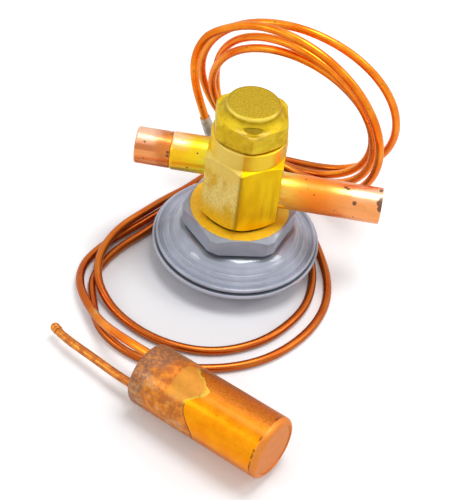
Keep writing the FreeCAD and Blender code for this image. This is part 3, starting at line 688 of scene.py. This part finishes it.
def copper(name, side, tones, zones, highlight_height, pits, handled=0.0, painted_reflections=0.0):
    """Copper in three tones, which change between two distances from the valve's axis. Its far end
    has a painted highlight along the top at the height given, with a dark and a pale painted
    reflection below that. It is duller where it was handled. A side of 1 is the right one, -1 the left
    one."""
    finish = Finish(name)
    x, y, z = (finish.axis(letter) for letter in "XYZ")
    start, end = zones
    middle = (start + end) / 2
    out = x * side + finish.noise(4.0, 3.0) * 5.0 - 2.5
    far_end = finish.fade(out, end - 6, end)
    dull = finish.band(out, (start + 4, start + 10), (end - 6, end - 14)) * handled
    band = finish.band(z, (highlight_height - 4.6, highlight_height - 3.6), (highlight_height - 1.6, highlight_height - 2.6)) * finish.fade(y, 0, -3)
    cloud = finish.noise(2.6, 4.0, (0.5, 1, 1))
    specks = finish.patches(1.1, 2.0, 0.72, 0.76) * 0.7
    dark = finish.maths("MAXIMUM", specks, finish.marks(*pits))
    tone = finish.coats(
        tones[0],
        (finish.fade(out, start, middle), 1.0, tones[1]),
        (finish.fade(out, middle, end), 1.0, tones[2]),
        (finish.fade(cloud, 0.55, 0.75), 0.4, linear(226, 142, 62)),
        # Painted highlight along the top of the far end, then painted reflections below it: a dark band
        # and a paler one.
        (finish.fade(z, highlight_height - 3.0, highlight_height) * far_end, 0.6, linear(255, 218, 186)),
        (band * far_end, painted_reflections, linear(176, 92, 24)),
        (finish.fade(z, highlight_height - 3.8, highlight_height - 4.8) * far_end, painted_reflections, linear(255, 168, 90)),
        (dark, 0.9, linear(92, 50, 24)),
    )
    lines = finish.noise(0.3, 2.0, (0.05, 1, 1))
    return finish.surface(
        Base_Color=tone, Metallic=1 - dark * 0.8,
        Roughness=finish.fade(cloud, 0.3, 0.8) * 0.12 + 0.24 + dull,
        Coat_Weight=0.25, Coat_Roughness=0.25, Normal=finish.relief(lines - dark * 4, 0.015, 0.3),
    )


inlet_tones = linear(240, 196, 76), linear(240, 136, 34), linear(250, 166, 98)
outlet_tones = linear(222, 130, 44), linear(214, 124, 58), linear(236, 150, 100)
sleeve_tones = linear(228, 212, 50), linear(244, 204, 20), linear(246, 190, 20)
inlet = copper("inlet copper", 1, inlet_tones, (12, 46), 46.0, inlet_pits, handled=0.28)
outlet = copper("outlet copper", -1, outlet_tones, (28, 38), 57.4, outlet_pits, painted_reflections=0.6)
sleeve = copper("sleeve brass", -1, sleeve_tones, (14, 26), 57.8, sleeve_pits)
dress(inlet, "inlet_stub")
dress(outlet, "outlet_stub")
dress(sleeve, "outlet_sleeve")

# %% [markdown]
# ## Copper of the capillary
# Drawn copper tube is bright orange, with brown handling marks here and there. Where it lies on
# the floor it is painted browner as painted shade, and heat tinted it green and pale in one place near
# the bulb.

# %% Capillary finish
thin = Finish("capillary copper")
cloud = thin.noise(12.0, 4.0)
tint = thin.marks((-46.4, -52.4, 6.8, 2.2), (-47.6, -50.9, 6.4, 1.8))
tone = thin.coats(
    linear(240, 122, 26),
    (thin.fade(cloud, 0.35, 0.65), 1.0, linear(252, 154, 46)),
    # Painted shade: the tube is browner low down, where it lies on the floor.
    (thin.fade(thin.axis("Z"), 12, 5), 0.75, linear(160, 74, 36)),
    (tint, 0.7, linear(206, 200, 150)),
    (thin.patches(3.0, 3.0, 0.66, 0.74), 0.6, linear(140, 74, 38)),
)
thin.surface(
    Base_Color=tone, Metallic=1.0, Roughness=thin.fade(cloud, 0.3, 0.7) * 0.1 + 0.24,
    Normal=thin.relief(thin.noise(0.8, 2.0), 0.02, 0.0),
)
capillary.data.materials.append(thin.material)
print("capillary copper of", len(thin.tree.nodes), "nodes")

# %% [markdown]
# ## Copper of the bulb
# The bulb's root was brazed. The heat left a brown and purple tint, then a pale film that ends
# in a ragged bright edge on top and in a dark crease low on the front. The rest is plain orange
# copper, painted a little browner on top as painted shade. Two values place these zones: the
# distance along the bulb from its root, and the turn round it, in degrees, which is 0 on top, 90
# in front and below zero behind. The heat zone's edge steps out, back and out again as the turn
# grows, and noise makes it ragged.

# %% Zones of the bulb
bulb_heading, bulb_lift = math.radians(-28.8), math.radians(3.0)
bulb_root = Vector((-22.7, -80.2, 11.96))
bulb_lip = 55.7
bulb_level = Vector((math.cos(bulb_heading), math.sin(bulb_heading), 0))
bulb_ahead = bulb_level * math.cos(bulb_lift) + Vector((0, 0, math.sin(bulb_lift)))
bulb_front = Vector((math.sin(bulb_heading), -math.cos(bulb_heading), 0))
bulb_top = bulb_front.cross(bulb_ahead)

bulb = Finish("bulb copper")
out, front, top = (
    bulb.along(way) - bulb_root.dot(way) for way in (bulb_ahead, bulb_front, bulb_top)
)
turn = bulb.maths("ARCTAN2", front, top) * math.degrees(1)
upper = bulb.fade(turn, 52, 44)
heat_edge = 20.8
for start, end, rise in ((-25, 10, 8.6), (16, 46, -5.0), (48, 102, 5.7)):
    heat_edge = bulb.fade(turn, start, end) * rise + heat_edge
ragged = out + (bulb.noise(2.2, 4.0) - 0.5) * 4.0 * (upper * 0.8 + 0.2)
past = ragged - heat_edge
heat = bulb.fade(past, 0.2, -0.4)
film = bulb.fade(ragged, 15.5, 17.0) * bulb.fade(turn, -24, -16) * heat * upper
rim = bulb.fade(bulb.maths("ABSOLUTE", past + 0.4), 0.8, 0.2) * bulb.fade(turn, -40, -20) * upper
crease = bulb.fade(bulb.maths("ABSOLUTE", past), 0.5, 0.1) * (1 - upper)
burnt = bulb.fade(out + (bulb.noise(5.0, 4.0) - 0.5) * 16 + turn * 0.06, 15, 8) * heat
frost = bulb.patches(4.5, 4.0, 0.48, 0.68, rough=0.6) * heat * bulb.fade(turn, 24, 44)
# Painted shade: the top of the bulb is browner.
top_shade = bulb.fade(turn, 36, 0)
sheen = bulb.fade(bulb.maths("ABSOLUTE", turn - 21), 8, 1) * bulb.fade(out, 22, 28)
lip = bulb.fade(out, bulb_lip - 0.2, bulb_lip + 0.2)
from_fold = bulb.maths("ABSOLUTE", out - (bulb_lip - 0.3))
fold = bulb.fade(from_fold, 0.5, 0.15) * bulb.patches(3.6, 3.0, 0.5, 0.6)
specks = bulb.patches(0.9, 2.0, 0.69, 0.74) * (heat * 0.4 + 0.6)
print("zones of", len(bulb.tree.nodes), "nodes, up to the bulb's lip at", bulb_lip, "mm")

# %% [markdown]
# ## The bulb's colours
# Each zone is a coat of colour over the ones before it. Some coats are mottled themselves.

# %% Colours of the bulb
cloud = bulb.noise(5.0, 5.0)
brown = bulb.mix(bulb.patches(0.7, 3.0, 0.4, 0.6), linear(166, 86, 26), linear(192, 108, 48))
scale = bulb.mix(bulb.patches(2.6, 5.0, 0.38, 0.62), linear(178, 96, 38), linear(228, 136, 40))
bloom = bulb.mix(bulb.patches(1.5, 5.0, 0.4, 0.6, rough=0.7), linear(126, 88, 76), linear(186, 122, 62))
end_copper = linear(216, 124, 46), linear(234, 148, 68)
tone = bulb.coats(
    linear(242, 142, 6),
    (bulb.fade(cloud, 0.3, 0.7), 1.0, linear(252, 160, 14)),
    (top_shade, 0.8, brown),
    (sheen, 0.3, linear(250, 176, 80)),
    (heat, 0.85, scale),
    (burnt, 0.85, bloom),
    (frost, 0.35, linear(226, 196, 140)),
    (film, 0.7, linear(216, 150, 52)),
    (rim, 0.75, linear(214, 188, 64)),
    (crease, 0.75, linear(110, 68, 30)),
    (lip, 1.0, bulb.mix(cloud, *end_copper)),
    (fold, 0.8, linear(112, 52, 20)),
    (specks, 0.8, linear(96, 56, 40)),
)
bulb.surface(
    Base_Color=tone, Metallic=0.95 - heat * 0.35,
    Roughness=(heat + lip) * 0.14 + bulb.fade(turn, 40, 10) * 0.16 + 0.24,
    Normal=bulb.relief(bulb.noise(0.9, 3.0) * (heat + 0.4) - crease * 3, 0.03),
)
dress(bulb.material, "bulb_shell")

# %% [markdown]
# ## Charging tube and plug
# The charging tube at the bulb's root is soft copper that heat left mottled and dull. The plug in
# the bulb's other end has the same pinkish copper as the lip that is curled over it.

# %% Charging tube
filler = Finish("filling tube")
spots = filler.patches(2.8, 4.0, 0.38, 0.64, rough=0.6)
tone = filler.coats(
    linear(186, 104, 42),
    (spots, 1.0, linear(230, 146, 56)),
    (filler.patches(3.0, 3.0, 0.6, 0.7), 0.6, linear(130, 82, 58)),
)
filler.surface(
    Base_Color=tone, Metallic=0.8, Roughness=0.4 - spots * 0.08,
    Normal=filler.relief(filler.noise(0.8, 3.0), 0.04),
)
dress(filler.material, "charging_tube")

# %% Plug
plug = Finish("bulb end")
cloud = plug.noise(2.5, 4.0)
plug.surface(
    Base_Color=plug.mix(cloud, *end_copper), Metallic=0.8, Roughness=cloud * 0.1 + 0.42,
    Normal=plug.relief(plug.noise(0.6, 2.0), 0.02),
)
dress(plug.material, "bulb_plug")

# %% [markdown]
# ## Silver braze
# The ferrule is wet with silver braze and dull flux, so it is mottled, rough and slightly yellow.

# %% Ferrule
silver = Finish("silver braze")
cloud = silver.noise(2.0, 4.0)
silver.surface(
    Base_Color=silver.mix(silver.fade(cloud, 0.35, 0.65), linear(176, 168, 150), linear(214, 208, 196)),
    Metallic=0.8, Roughness=cloud * 0.2 + 0.35, Normal=silver.relief(silver.noise(0.7, 3.0), 0.06),
)
dress(silver.material, "braze_ferrule")

# %% [markdown]
# ## Hidden parts
# The parts inside the valve are ground steel, spring wire, turned brass, soft copper and white
# packing, and the riser behind the valve is a plain steel tube. None of them shows in the
# picture. Each still gets its own material, so that the model can be opened up.

# %% Plain finishes


def plain(name, low, high, size, rough, stretch=(1, 1, 1), metallic=1.0):
    """Finish of one material, clouded between two tones."""
    finish = Finish(name)
    cloud = finish.noise(size, 3.0, stretch)
    return finish.surface(
        Base_Color=finish.mix(finish.fade(cloud, 0.3, 0.7), low, high), Metallic=metallic,
        Roughness=cloud * 0.12 + rough, Normal=finish.relief(finish.noise(size / 6, 2.0, stretch), 0.01),
    )


ground = plain("ground steel", linear(170, 170, 172), linear(204, 204, 206), 2.0, 0.25, (1, 1, 0.2))
wire = plain("spring wire", linear(120, 120, 124), linear(158, 158, 162), 1.5, 0.3)
drawn = plain("riser steel", linear(136, 134, 130), linear(168, 166, 162), 2.0, 0.35)
turned = plain("turned brass", linear(216, 172, 60), linear(236, 196, 92), 2.5, 0.28)
soft = plain("soft copper", linear(206, 124, 74), linear(228, 148, 96), 1.5, 0.32)
packing = plain("white packing", linear(226, 226, 222), linear(242, 242, 240), 1.5, 0.45, metallic=0.0)
dress(ground, "head_diaphragm", "valve_pin", "valve_seat", "push_rod_1", "push_rod_2",
      "adjusting_stem", "packing_washer", "inlet_strainer")
dress(wire, "superheat_spring")
dress(drawn, "charge_riser")
dress(turned, "buffer_plate", "pin_carrier", "spring_seat", "packing_gland")
dress(soft, "head_gasket", "gland_gasket", "cap_seal")
dress(packing, "stem_packing")

# %% [markdown]
